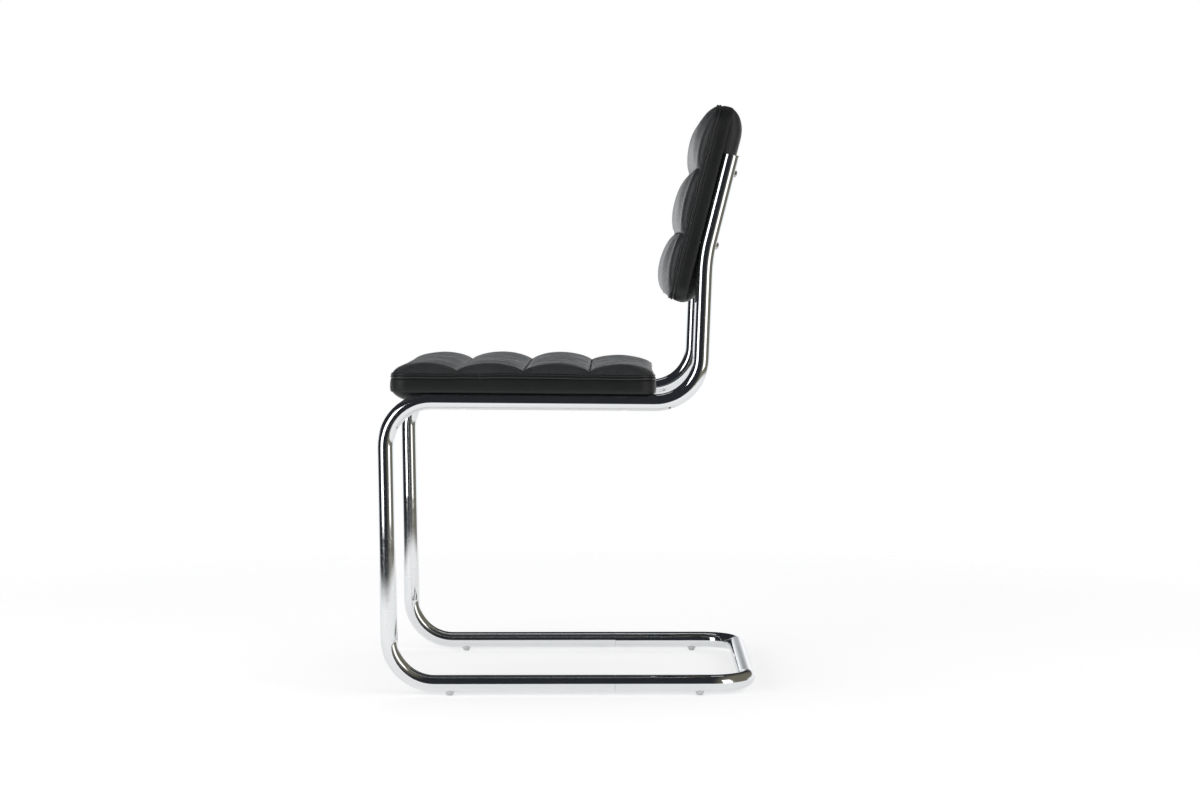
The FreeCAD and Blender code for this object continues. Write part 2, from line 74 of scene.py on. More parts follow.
def seat_place(centre):
    slope = math.radians(SEAT_SLOPE)
    along = Vector((math.cos(slope), 0, -math.sin(slope)))
    outward = Vector((math.sin(slope), 0, math.cos(slope)))
    return pad_place(Vector((0, 0, SEAT_RAIL_Z)), along, outward, centre)


def back_place(centre):
    lean = math.radians(BACK_LEAN)
    bend_x = UPRIGHT_X + (BACK_BEND_Z - SEAT_RAIL_Z) * math.tan(math.radians(UPRIGHT_LEAN))
    along = Vector((math.sin(lean), 0, math.cos(lean)))
    outward = Vector((-math.cos(lean), 0, math.sin(lean)))
    return pad_place(Vector((bend_x, 0, BACK_BEND_Z)), along, outward, centre)


class Pad:
    """One pad: its name, half sizes, heights and depth from the tubes, end shape and place.

    Each channel has the rise of its crest in the middle and how far it stands at the right end.
    """

    def __init__(self, name, length, heights, crowns, crease_share, arch, place):
        self.name = name
        self.half_x = length / 2
        self.half_y = PAD_WIDTH / 2
        self.piping_h, self.crest_h, self.belly_depth = heights
        self.crowns = crowns
        self.channels = len(crowns)
        self.crease_share = crease_share
        self.arch = arch
        self.place = place

    def end_at(self, y):
        """Half length of the outline on the line at y."""
        straight = self.half_y - CORNER_R
        past = abs(y) - straight
        if past <= 0:
            return self.half_x - DRAW_IN * (1 - (y / straight) ** 2)
        return self.half_x - CORNER_R + math.sqrt(max(CORNER_R ** 2 - past ** 2, 0))

    def side_at(self, x):
        """Half width of the outline on the line at x, without its round corners."""
        straight = self.half_x - CORNER_R
        share = min(abs(x) / straight, 1)
        return self.half_y - DRAW_IN * (1 - share ** 2)

    def outward(self, x, y):
        """Direction out of the outline at its nearest point."""
        inner_x = max(min(x, self.half_x - CORNER_R), CORNER_R - self.half_x)
        inner_y = max(min(y, self.half_y - CORNER_R), CORNER_R - self.half_y)
        return Vector((x - inner_x, y - inner_y, 0)).normalized()

    def waver(self, x, y):
        """How far the piping strays from its level: an arch along the sides and a hand-sewn wobble."""
        arch = self.arch * math.exp(-(x / ARCH_REACH) ** 2)
        wobble = sum(size * math.sin(along * x + across * y + start)
                     for size, along, across, start in WOBBLES)
        return arch + wobble


SEAT_CROWNS = ((0.0005, -0.0015), (0.0010, -0.0005), (0.0010, -0.0005), (-0.0010, -0.0045))
BACK_CROWNS = ((0.0020, 0.0), (0.0025, 0.0), (0.0020, 0.0))
SEAT = Pad("seat", 0.3875, (0.0225, 0.044, 0.0165), SEAT_CROWNS, 1.0, 0.0012, seat_place(-0.0642))
BACK = Pad("back", 0.290, (0.020, 0.043, 0.0215), BACK_CROWNS, 0.52, 0.0004, back_place(0.0733))
PADS = (SEAT, BACK)


# Making pieces

def piece_from(bm, name, material, smooth=True):
    """New object of the scene from a bmesh, with its normals turned outwards."""
    bmesh.ops.remove_doubles(bm, verts=bm.verts, dist=1e-6)
    bmesh.ops.recalc_face_normals(bm, faces=bm.faces)
    mesh = bpy.data.meshes.new(name)
    bm.to_mesh(mesh)
    bm.free()
    for face in mesh.polygons:
        face.use_smooth = smooth
    piece = bpy.data.objects.new(name, mesh)
    bpy.context.scene.collection.objects.link(piece)
    piece.data.materials.append(material)
    return piece


def subdivide(piece, levels=1):
    modifier = piece.modifiers.new("smooth", "SUBSURF")
    modifier.levels = levels
    modifier.render_levels = levels
    return piece


def numbered_grid(bm, columns, rows):
    """Fills the bmesh with a grid, and gives each of its points with its column and row."""
    bmesh.ops.create_grid(bm, x_segments=columns, y_segments=rows, size=1)
    return [(vert, round((vert.co.x + 1) / 2 * columns), round((vert.co.y + 1) / 2 * rows))
            for vert in bm.verts]


def open_edges(bm):
    return [edge for edge in bm.edges if edge.is_boundary]


def of_kind(items, kind):
    return [item for item in items if isinstance(item, kind)]


def extended_rim(bm):
    """Extrudes the open rim of the bmesh, and gives the new points."""
    made = bmesh.ops.extrude_edge_only(bm, edges=open_edges(bm))["geom"]
    return of_kind(made, bmesh.types.BMVert)


# Leather top of a pad: channels puffed between sewn valleys

CHANNEL_STEPS = 32
INNER_ROWS = 120
END_ROWS = 10
END_TURN = 0.020
END_SQUARENESS = 2.4
CREASE_TURN = math.radians(58)
CREASE_INSET = END_TURN * (1 - math.cos(CREASE_TURN) ** (2 / END_SQUARENESS))
# Painted highlight with rubbed wear along each end's crease: share of the lighter colour on the crease row
# and on the row beside it
CREASE_WEAR_AND_HIGHLIGHT = {0: 1.0, 1: 0.4}
CREASE_WEAR_AND_HIGHLIGHT_RISE = 3
ROW_CROWDING = 0.35
PUFF_POWER = 0.56
PUFF_POWER_AT_ENDS = 0.82
PUFF_RUN = 0.030
RISE_RUN = 0.060
RISE_POWER = 0.7
END_PULL = 0.0090
END_PULL_REACH = 0.027
END_VALLEY_LIFT = 0.003
LIP_R = 0.0016
LIP_OUT = 0.0002
LIP_SEAT = 0.8
PUCKER_DEPTH = 0.0005
PUCKER_REACH = 0.009
PUCKERS_PER_METRE = (18, 105)
SWELL = 0.0005
SWELLS_PER_METRE = (22, 13)
BELLY_SWELLS_PER_METRE = (16, 14)
SKIRT_TUCK = 0.003


def eased(value):
    """Smooth step from 0 to 1."""
    value = max(0.0, min(1.0, value))
    return value * value * (3 - 2 * value)


def unevenness(x, y, per_metre, layer):
    """Smooth noise over the pad, from -1 to 1."""
    return noise.noise(Vector((x * per_metre[0], y * per_metre[1], layer)))


def pucker(x, y, from_valley):
    """Small gathers that run out of a sewn valley, and the slow unevenness of the filling."""
    gathers = unevenness(x, y, PUCKERS_PER_METRE, 2.0) * math.exp(-from_valley / PUCKER_REACH)
    return gathers * PUCKER_DEPTH + unevenness(x, y, SWELLS_PER_METRE, 5.0) * SWELL


def top_point(pad, column, row):
    """Place of one grid point of the top, and its share of the lighter crease line along each end, which is
    a painted highlight with rubbed wear.
    """
    rows = INNER_ROWS + 2 * END_ROWS
    side = -1 if row < rows / 2 else 1
    from_edge = min(row, rows - row)
    turn = min(from_edge / END_ROWS, 1) * CREASE_TURN
    face = (math.sin(turn) / math.sin(CREASE_TURN)) ** (2 / END_SQUARENESS)
    inset = END_TURN * (1 - math.cos(turn) ** (2 / END_SQUARENESS))

    # Across the pad: the end face near each side, and rows inside that close up towards the creases
    inner = (row - rows / 2) / (INNER_ROWS / 2)
    inner *= (1 + ROW_CROWDING - ROW_CROWDING * inner ** 2) * (1 - CREASE_INSET / pad.half_y)
    share = side * (1 - inset / pad.half_y) if from_edge < END_ROWS else inner
    y = share * (pad.half_y - PIPING_INSET)
    past_crease = max(pad.half_y - PIPING_INSET - CREASE_INSET - abs(y), 0)
    at_end = 1 - eased(past_crease / PUFF_RUN)

    # Along the pad: sewn lines at an even pitch, and the outline at both ends
    channel = min(column // CHANNEL_STEPS, pad.channels - 1)
    across = -math.cos(math.pi * (column - channel * CHANNEL_STEPS) / CHANNEL_STEPS)
    pitch = 2 * pad.half_x / pad.channels
    reach = pad.end_at(y) - PIPING_INSET
    start = -reach if channel == 0 else -pad.half_x + channel * pitch
    end = reach if channel == pad.channels - 1 else -pad.half_x + (channel + 1) * pitch
    x = start + (end - start) * (across + 1) / 2
    sewn = (across < 0 and channel > 0) or (across > 0 and channel < pad.channels - 1)
    from_valley = (1 - abs(across)) * pitch / 2 if sewn else pitch
    y *= 1 - (pad.half_y - pad.side_at(x)) / pad.half_y
    pull = END_PULL * max(1 - from_valley / END_PULL_REACH, 0) ** 2
    y -= side * pull * math.sqrt(math.sin(turn) / math.sin(CREASE_TURN)) * at_end

    # Heights: base at the piping, low sewn valleys, full crests
    power = PUFF_POWER + (PUFF_POWER_AT_ENDS - PUFF_POWER) * at_end
    fullness = max(1 - across ** 2, 0) ** power
    base = pad.piping_h + PIPING_D / 2 + LIP_R
    valley = pad.crest_h - VALLEY_DROP + END_VALLEY_LIFT * at_end
    low_left = base if channel == 0 else valley
    low_right = base if channel == pad.channels - 1 else valley
    low = low_left + (low_right - low_left) * eased((across + 1) / 2)
    middle, far = pad.crowns[channel]
    rightward = eased((y + pad.half_y) / (2 * pad.half_y))
    crest = pad.crest_h + middle * (1 - (y / pad.half_y) ** 2) + far * rightward
    full = pad.crease_share * face + (1 - pad.crease_share) * eased(past_crease / RISE_RUN) ** RISE_POWER
    height = base + (low - base) * face + (crest - low) * fullness * full
    height += pucker(x, y, from_valley) * face + pad.waver(x, y) * (1 - face)
    # Lighter crease line, a painted highlight with rubbed wear, strongest where the channel stands full
    crease = CREASE_WEAR_AND_HIGHLIGHT.get(abs(from_edge - END_ROWS), 0.0) * min(fullness * CREASE_WEAR_AND_HIGHLIGHT_RISE, 1)
    return Vector((x, y, height)), crease


def channelled_top(pad, material):
    """Leather top with its filling, from the fold above the piping up over the channels."""
    columns = CHANNEL_STEPS * pad.channels
    rows = INNER_ROWS + 2 * END_ROWS
    bm = bmesh.new()
    # Share of the painted crease highlight and rubbed wear at each point, which the leather material reads
    wear_and_highlight = bm.verts.layers.float.new("wear_and_highlight")
    for vert, column, row in numbered_grid(bm, columns, rows):
        vert.co, vert[wear_and_highlight] = top_point(pad, column, row)
    for vert in extended_rim(bm):
        vert.co -= pad.outward(vert.co.x, vert.co.y) * SKIRT_TUCK
        vert.co.z = pad.piping_h
        vert[wear_and_highlight] = 0
    bmesh.ops.holes_fill(bm, edges=open_edges(bm))
    bm.transform(pad.place)
    return piece_from(bm, pad.name + "_cushion", material)


# Loops that follow a pad's outline

CORNER_STEPS = 10
SIDE_STEPS = 16


def outline_face(bm, pad):
    """Flat face with the pad's outline: a rectangle with round corners and drawn-in sides."""
    bmesh.ops.create_grid(bm, x_segments=1, y_segments=1, size=1)
    bmesh.ops.scale(bm, vec=(pad.half_x, pad.half_y, 1), verts=bm.verts)
    bmesh.ops.bevel(bm, geom=bm.verts[:], offset=CORNER_R, offset_type="OFFSET", segments=CORNER_STEPS,
                    profile=0.5, affect="VERTICES", material=-1)
    long_edges = [edge for edge in bm.edges if edge.calc_length() > 3 * CORNER_R]
    bmesh.ops.subdivide_edges(bm, edges=long_edges, cuts=SIDE_STEPS - 1)
    for vert in bm.verts:
        x, y = vert.co.x, vert.co.y
        if abs(y) > pad.half_y - 1e-6:
            vert.co.y *= pad.side_at(x) / pad.half_y
        if abs(x) > pad.half_x - 1e-6:
            vert.co.x *= pad.end_at(y) / pad.half_x


def ringed_form(bm, pad, rings, closed=False):
    """Raises the outline through rings of (height, outset), and joins the last to the first if closed."""
    outline_face(bm, pad)
    loop = open_edges(bm)
    verts = sorted({vert for edge in loop for vert in edge.verts}, key=lambda vert: vert.index)
    flat = {vert: vert.co.copy() for vert in verts}
    bmesh.ops.delete(bm, geom=bm.faces[:], context="FACES_ONLY")
    first = rings[0]
    for vert in verts:
        vert.co = flat[vert] + pad.outward(*flat[vert].xy) * first[1]
        vert.co.z = first[0]
    lower = loop
    home = flat
    for height, outset in rings[1:]:
        before = {vert.co.copy().freeze(): home[vert] for edge in lower for vert in edge.verts}
        made = bmesh.ops.extrude_edge_only(bm, edges=lower)["geom"]
        lower = of_kind(made, bmesh.types.BMEdge)
        new_home = {}
        for vert in {vert for edge in lower for vert in edge.verts}:
            new_home[vert] = before[vert.co.copy().freeze()]
        for vert, point in new_home.items():
            vert.co = point + pad.outward(*point.xy) * outset
            vert.co.z = height
        home = new_home
    if closed:
        bmesh.ops.bridge_loops(bm, edges=loop + lower)
    return lower


BAND_TOP_SHARE = 0.35


def boxing(pad, material):
    """Upright band from the tubes to the piping, tucked in at both seams."""
    top = pad.piping_h - PIPING_D * BAND_TOP_SHARE
    lower_seam = [(0.0006, -0.0012), (0.0002, 0.0), (0.0012, 0.0007)]
    face = [(0.25 * top, BULGE - 0.0001), (0.5 * top, BULGE), (0.75 * top, 0.0012)]
    upper_seam = [(top - 0.0016, 0.0005), (top - 0.0004, -0.0004), (top, -0.002)]
    rings = lower_seam + face + upper_seam + [(0.0006, -0.003)]
    bm = bmesh.new()
    ringed_form(bm, pad, rings, closed=True)
    for vert in bm.verts:
        vert.co.z += pad.waver(vert.co.x, vert.co.y) * vert.co.z / top
    bm.transform(pad.place)
    return subdivide(piece_from(bm, pad.name + "_side_band", material))


BELLY_ROLL_STEPS = 14
BELLY_FLAT_STEPS = 34
BELLY_TURN_STEPS = 9
BELLY_ROWS = 44
HEM_SHARE_X = 0.985
HEM_SHARE_Y = 0.99
HEM_RISE = 0.002


def belly_point(pad, column, row):
    """Place of one grid point of the belly: rolled up at both ends and turned in at both sides."""
    columns = BELLY_FLAT_STEPS + 2 * BELLY_ROLL_STEPS
    rows = BELLY_ROWS + 2 * BELLY_TURN_STEPS
    side = -1 if row < rows / 2 else 1
    from_side = min(row, rows - row)
    turn = min(from_side / BELLY_TURN_STEPS, 1) * math.pi / 2
    edge = BELLY_WIDTH / 2
    y = side * (edge - BELLY_SIDE_TURN * (1 - math.cos(turn)))
    if from_side > BELLY_TURN_STEPS:
        y = (row - rows / 2) / (BELLY_ROWS / 2) * (edge - BELLY_SIDE_TURN)
    depth = pad.belly_depth * math.sin(turn)
    end = -1 if column < columns / 2 else 1
    from_end = min(column, columns - column)
    roll = min(from_end / BELLY_ROLL_STEPS, 1) * math.pi / 2
    reach = pad.end_at(y) + BULGE
    x = end * (reach - BELLY_END_ROLL * (1 - math.cos(roll)))
    if from_end > BELLY_ROLL_STEPS:
        x = (column - columns / 2) / (BELLY_FLAT_STEPS / 2) * (reach - BELLY_END_ROLL)
    z = BELLY_START - (BELLY_START + depth) * math.sin(roll)
    slack = unevenness(x, y, BELLY_SWELLS_PER_METRE, 9.0) * SWELL * math.sin(turn) * math.sin(roll)
    return Vector((x, y, z + slack))


def belly(pad, material):
    """Filled belly that hangs between the tubes and rolls up into the band at both ends."""
    columns = BELLY_FLAT_STEPS + 2 * BELLY_ROLL_STEPS
    rows = BELLY_ROWS + 2 * BELLY_TURN_STEPS
    bm = bmesh.new()
    for vert, column, row in numbered_grid(bm, columns, rows):
        vert.co = belly_point(pad, column, row)
    for vert in extended_rim(bm):
        vert.co.x *= HEM_SHARE_X
        vert.co.y *= HEM_SHARE_Y
        vert.co.z = BELLY_START + HEM_RISE
    bmesh.ops.holes_fill(bm, edges=open_edges(bm))
    bm.transform(pad.place)
    return piece_from(bm, pad.name + "_underside", material)


RIM_T = 0.0015
RIM_INSET = 0.0012


def underside_rim(pad, material):
    """Flat edge of the underside, which lies on the tubes."""
    bm = bmesh.new()
    outline_face(bm, pad)
    for vert in bm.verts:
        vert.co -= pad.outward(vert.co.x, vert.co.y) * RIM_INSET
    raised = bmesh.ops.extrude_face_region(bm, geom=bm.faces[:])["geom"]
    for vert in of_kind(raised, bmesh.types.BMVert):
        vert.co.z += RIM_T
    bm.transform(pad.place)
    return piece_from(bm, pad.name + "_underside_rim", material, smooth=False)


def outline_walk(pad, inset):
    """Points round the pad's outline, in order, drawn in by an even inset."""
    bm = bmesh.new()
    outline_face(bm, pad)
    points = []
    bm.faces.ensure_lookup_table()
    for loop in bm.faces[0].loops:
        flat = loop.vert.co
        points.append(flat - pad.outward(flat.x, flat.y) * inset)
    bm.free()
    return points


def cord_along(points, radius, place, name):
    """Mesh of a round cord along a closed line."""
    curve = bpy.data.curves.new(name, "CURVE")
    curve.dimensions = "3D"
    curve.bevel_depth = radius
    curve.bevel_resolution = 5
    spline = curve.splines.new("POLY")
    spline.points.add(len(points) - 1)
    for point, spot in zip(spline.points, points):
        point.co = (*(place @ spot), 1)
    spline.use_cyclic_u = True
    holder = bpy.data.objects.new(name, curve)
    bpy.context.scene.collection.objects.link(holder)
    depsgraph = bpy.context.evaluated_depsgraph_get()
    mesh = bpy.data.meshes.new_from_object(holder.evaluated_get(depsgraph))
    bpy.data.objects.remove(holder)
    return mesh


def welt(pad, material):
    """Piping cord round the upper edge of the band, and the small turned fold of the top above it."""
    bm = bmesh.new()
    cord = (PIPING_INSET, pad.piping_h, PIPING_D / 2)
    fold = (PIPING_INSET - LIP_OUT, pad.piping_h + PIPING_D / 2 + LIP_R * LIP_SEAT, LIP_R)
    for inset, height, radius in (cord, fold):
        points = outline_walk(pad, inset)
        for point in points:
            point.z = height + pad.waver(point.x, point.y)
        bm.from_mesh(cord_along(points, radius, pad.place, pad.name + "_line"))
    return piece_from(bm, pad.name + "_welt", material)


# Materials

def new_group(name, inputs, outputs):
    """Empty shader node group with float inputs and the outputs asked for."""
    group = bpy.data.node_groups.new(name, "ShaderNodeTree")
    for label, value in inputs:
        socket = group.interface.new_socket(label, in_out="INPUT", socket_type="NodeSocketFloat")
        socket.default_value = value
    for label, kind in outputs:
        group.interface.new_socket(label, in_out="OUTPUT", socket_type=kind)
    entry = group.nodes.new("NodeGroupInput")
    leave = group.nodes.new("NodeGroupOutput")
    return group, entry, leave


def node(tree, kind, inputs=(), **settings):
    """New node with its settings and with input values or links, by the inputs' names or numbers."""
    made = tree.nodes.new(kind)
    for key, value in settings.items():
        setattr(made, key, value)
    for key, value in dict(inputs).items():
        if isinstance(value, bpy.types.NodeSocket):
            tree.links.new(value, made.inputs[key])
        else:
            made.inputs[key].default_value = value
    return made


def maths(tree, operation, first, second=0.0, clamp=False):
    inputs = {0: first, 1: second}
    return node(tree, "ShaderNodeMath", inputs, operation=operation, use_clamp=clamp).outputs[0]


def vector_maths(tree, operation, first, second):
    inputs = {0: first, 1: second}
    return node(tree, "ShaderNodeVectorMath", inputs, operation=operation).outputs[0]


def ranged(tree, value, low, high, new_low, new_high, smooth=False):
    kind = "SMOOTHSTEP" if smooth else "LINEAR"
    inputs = {"Value": value, "From Min": low, "From Max": high, "To Min": new_low, "To Max": new_high}
    return node(tree, "ShaderNodeMapRange", inputs, interpolation_type=kind).outputs["Result"]


def mixed(tree, share, first, second):
    made = tree.nodes.new("ShaderNodeMix")
    made.data_type = "RGBA"
    for key, value in (("Factor", share), ("A", first), ("B", second)):
        socket = [s for s in made.inputs if s.name == key and s.enabled][0]
        if isinstance(value, bpy.types.NodeSocket):
            tree.links.new(value, socket)
        else:
            socket.default_value = value
    return [s for s in made.outputs if s.enabled][0]


def object_coordinates(tree):
    return node(tree, "ShaderNodeTexCoord").outputs["Object"]


def grain_group():
    """Leather grain: small pebbles with fine creases between them, and broad soft wrinkles."""
    group, entry, leave = new_group(
        "leather_grain",
        (("Pebbles per metre", 620.0), ("Wrinkles per metre", 90.0), ("Wrinkle share", 0.5)),
        (("Height", "NodeSocketFloat"), ("Crease", "NodeSocketFloat"), ("Mottle", "NodeSocketFloat")))
    place = object_coordinates(group)
    warp = node(group, "ShaderNodeTexNoise", {"Vector": place, "Scale": 300.0, "Detail": 2.0})
    bent = vector_maths(group, "MULTIPLY", warp.outputs["Color"], (0.0016, 0.0016, 0.0016))
    moved = vector_maths(group, "ADD", place, bent)
    pebbles = node(group, "ShaderNodeTexVoronoi", {"Vector": moved, "Scale": entry.outputs[0]},
                   feature="DISTANCE_TO_EDGE").outputs["Distance"]
    dome = ranged(group, pebbles, 0.0, 0.32, 0.0, 1.0, smooth=True)
    creases = ranged(group, pebbles, 0.0, 0.10, 1.0, 0.0)
    wrinkles = node(group, "ShaderNodeTexNoise", {"Vector": moved, "Scale": entry.outputs[1], "Detail": 3.0,
                                                 "Roughness": 0.55, "Distortion": 0.6}).outputs["Fac"]
    folded = maths(group, "ABSOLUTE", maths(group, "SUBTRACT", wrinkles, 0.5))
    soft = ranged(group, folded, 0.0, 0.12, 0.0, 1.0, smooth=True)
    broad = node(group, "ShaderNodeTexNoise", {"Vector": place, "Scale": 22.0, "Detail": 4.0}).outputs["Fac"]
    height = maths(group, "ADD", dome, maths(group, "MULTIPLY", soft, entry.outputs[2]))
    group.links.new(height, leave.inputs["Height"])
    group.links.new(creases, leave.inputs["Crease"])
    group.links.new(broad, leave.inputs["Mottle"])
    return group


def polish_group():
    """Polished metal: faint cloudiness and hairline scratches in the plating."""
    group, entry, leave = new_group(
        "polish_marks",
        (("Cloud per metre", 30.0), ("Scratch per metre", 240.0)),
        (("Cloud", "NodeSocketFloat"), ("Scratch", "NodeSocketFloat")))
    place = object_coordinates(group)
    cloud = node(group, "ShaderNodeTexNoise", {"Vector": place, "Scale": entry.outputs[0], "Detail": 5.0,
                                              "Roughness": 0.6}).outputs["Fac"]
    warp = node(group, "ShaderNodeTexNoise", {"Vector": place, "Scale": 14.0, "Detail": 1.0})
    bent = vector_maths(group, "MULTIPLY", warp.outputs["Color"], (0.12, 0.12, 0.12))
    moved = vector_maths(group, "ADD", place, bent)
    lines = node(group, "ShaderNodeTexVoronoi", {"Vector": moved, "Scale": entry.outputs[1]},
                 feature="DISTANCE_TO_EDGE").outputs["Distance"]
    scratch = ranged(group, lines, 0.0, 0.012, 1.0, 0.0)
    group.links.new(cloud, leave.inputs["Cloud"])
    group.links.new(scratch, leave.inputs["Scratch"])
    return group


def new_material(name):
    material = bpy.data.materials.new(name)
    material.use_nodes = True
    tree = material.node_tree
    tree.nodes.clear()
    shader = tree.nodes.new("ShaderNodeBsdfPrincipled")
    output = tree.nodes.new("ShaderNodeOutputMaterial")
    tree.links.new(shader.outputs["BSDF"], output.inputs["Surface"])
    return material, tree, shader


def bump(tree, shader, height, depth):
    made = node(tree, "ShaderNodeBump", {"Height": height, "Strength": 1.0, "Distance": depth})
    tree.links.new(made.outputs["Normal"], shader.inputs["Normal"])


# Colour of the crease line: a painted highlight with rubbed wear
RUBBED_AND_HIGHLIT_LEATHER = (0.11, 0.115, 0.117, 1)
GRAIN = grain_group()
POLISH = polish_group()


def leather(name, dark, light, roughness, grain_depth, wrinkle_share, gloss=0.5):
    """Black semi-gloss leather with pebbled grain, darker pores, a soft mottle, and a lighter, smoother
    crease line that is a painted highlight with rubbed wear.
    """
    material, tree, shader = new_material(name)
    grain = node(tree, "ShaderNodeGroup", node_tree=GRAIN)
    grain.inputs["Wrinkle share"].default_value = wrinkle_share
    # Painted highlight with rubbed wear: lighter colour and lower roughness where the mesh marks the crease
    rubbed_and_highlit = node(tree, "ShaderNodeAttribute", attribute_name="wear_and_highlight").outputs["Fac"]
    uneven = maths(tree, "MULTIPLY", rubbed_and_highlit, ranged(tree, grain.outputs["Mottle"], 0.3, 0.7, 0.35, 0.8))
    colour = mixed(tree, grain.outputs["Mottle"], (*dark, 1), (*light, 1))
    pored = mixed(tree, maths(tree, "MULTIPLY", grain.outputs["Crease"], 0.5), colour,
                  tuple(0.45 * c for c in dark) + (1,))
    tree.links.new(mixed(tree, uneven, pored, RUBBED_AND_HIGHLIT_LEATHER), shader.inputs["Base Color"])
    base = ranged(tree, grain.outputs["Mottle"], 0.3, 0.7, *roughness)
    rough = maths(tree, "ADD", base, maths(tree, "MULTIPLY", grain.outputs["Crease"], 0.15), clamp=True)
    smoothed = maths(tree, "SUBTRACT", rough, maths(tree, "MULTIPLY", uneven, 0.1), clamp=True)
    tree.links.new(smoothed, shader.inputs["Roughness"])
    bump(tree, shader, grain.outputs["Height"], grain_depth)
    shader.inputs["Specular IOR Level"].default_value = gloss
    return material


def chrome(name):
    """Bright chrome plate, a little cloudy in places and with hairline polishing scratches."""
    material, tree, shader = new_material(name)
    marks = node(tree, "ShaderNodeGroup", node_tree=POLISH)
    colour = mixed(tree, marks.outputs["Cloud"], (0.80, 0.82, 0.83, 1), (0.85, 0.86, 0.86, 1))
    tree.links.new(colour, shader.inputs["Base Color"])
    shader.inputs["Metallic"].default_value = 1.0
    cloudy = ranged(tree, marks.outputs["Cloud"], 0.45, 0.75, 0.03, 0.10)
    rough = maths(tree, "ADD", cloudy, maths(tree, "MULTIPLY", marks.outputs["Scratch"], 0.08))
    tree.links.new(rough, shader.inputs["Roughness"])
    bump(tree, shader, marks.outputs["Scratch"], -0.00001)
    return material


def plain_metal(name, colour, roughness):
    material, tree, shader = new_material(name)
    marks = node(tree, "ShaderNodeGroup", node_tree=POLISH)
    darker = tuple(0.8 * c for c in colour)
    clouded = mixed(tree, marks.outputs["Cloud"], (*darker, 1), (*colour, 1))
    tree.links.new(clouded, shader.inputs["Base Color"])
    shader.inputs["Metallic"].default_value = 1.0
    rough = ranged(tree, marks.outputs["Cloud"], 0.3, 0.7, roughness - 0.08, roughness + 0.08)
    tree.links.new(rough, shader.inputs["Roughness"])
    return material


def nylon(name):
    """Milky translucent nylon of the glides, scuffed at the foot."""
    material, tree, shader = new_material(name)
    marks = node(tree, "ShaderNodeGroup", node_tree=POLISH)
    tree.links.new(mixed(tree, marks.outputs["Cloud"], (0.62, 0.64, 0.63, 1), (0.78, 0.79, 0.78, 1)),
                   shader.inputs["Base Color"])
    tree.links.new(ranged(tree, marks.outputs["Cloud"], 0.3, 0.7, 0.35, 0.55), shader.inputs["Roughness"])
    shader.inputs["Subsurface Weight"].default_value = 0.4
    shader.inputs["Subsurface Radius"].default_value = (0.004, 0.004, 0.004)
    bump(tree, shader, marks.outputs["Scratch"], -0.00004)
    return material


def plywood(name):
    material, tree, shader = new_material(name)
    place = object_coordinates(tree)
    stretched = node(tree, "ShaderNodeMapping", {"Vector": place, "Scale": (60.0, 4.0, 60.0)}).outputs[0]
    streaks = {"Vector": stretched, "Scale": 5.0, "Detail": 6.0}
    grain = node(tree, "ShaderNodeTexNoise", streaks).outputs["Fac"]
    colour = mixed(tree, grain, (0.42, 0.28, 0.15, 1), (0.62, 0.46, 0.28, 1))
    tree.links.new(colour, shader.inputs["Base Color"])
    shader.inputs["Roughness"].default_value = 0.7
    bump(tree, shader, grain, 0.0002)
    return material


# Leathers: darkest and lightest colour, smoothest and roughest, depth of the grain, share of wrinkles. Top
# and band are one black leather: the top's colour is painted lighter as painted light, and the band's darker
# as painted shade
PAINTED_LIGHT_TOP_LEATHER = leather("black_leather_top", (0.028, 0.030, 0.031), (0.042, 0.044, 0.046),
                      (0.25, 0.33), 0.00010, 0.8)
# Band: the same leather as the top, painted darker as painted shade
PAINTED_SHADE_BAND_LEATHER = leather("black_leather_band", (0.009, 0.010, 0.010), (0.015, 0.016, 0.016),
                       (0.34, 0.44), 0.00009, 0.5, gloss=0.38)
PIPING_LEATHER = leather("black_leather_welt", (0.016, 0.017, 0.018), (0.022, 0.023, 0.024),
                         (0.20, 0.28), 0.00006, 0.3)
UNDER_LEATHER = leather("black_leather_under", (0.016, 0.017, 0.017), (0.024, 0.026, 0.026),
                        (0.30, 0.40), 0.00010, 0.6)
CHROME = chrome("chrome_plate")
NICKEL = plain_metal("nickel_plate", (0.66, 0.64, 0.60), 0.34)
STEEL = plain_metal("drawn_steel", (0.50, 0.51, 0.52), 0.35)
ZINC = plain_metal("zinc_plate", (0.60, 0.61, 0.62), 0.38)
NYLON = nylon("milky_nylon")
PLYWOOD = plywood("birch_plywood")


# Pieces of the two pads


def dress(piece, slot, *nodes):
    """Hides the nodes that a pad's piece stands for and sets the piece on the body it rides on; the material
    slot is not used.
    """
    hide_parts(*nodes)
    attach(piece, "root")


for pad in PADS:
    cushion = channelled_top(pad, PAINTED_LIGHT_TOP_LEATHER)
    dress(cushion, "top_leather", pad.name + "_top_cover", pad.name + "_foam")
    dress(boxing(pad, PAINTED_SHADE_BAND_LEATHER), "side_leather", pad.name + "_boxing")
    dress(welt(pad, PIPING_LEATHER), "piping_leather", pad.name + "_piping")
    dress(underside_rim(pad, UNDER_LEATHER), "under_leather", pad.name + "_underside_cover")
    underside = belly(pad, UNDER_LEATHER)
    dress(underside, "under_leather", pad.name + "_underside_cover", pad.name + "_underside_foam")


# Frame and fixings keep their solids and take the first finish whose word is in their name

FINISHES = (("side_tube", CHROME), ("base_tube", CHROME), ("end_cap", CHROME), ("glide", NYLON),
            ("sleeve", STEEL), ("back_screws", NICKEL), ("screws", STEEL), ("tee_nuts", ZINC),
            ("board", PLYWOOD))
for name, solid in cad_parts.items():
    for part, finish in FINISHES:
        if part in name:
            solid.data.materials.clear()
            solid.data.materials.append(finish)
            for face in solid.data.polygons:
                face.use_smooth = True
            break


# Floor, lamps, surroundings and camera

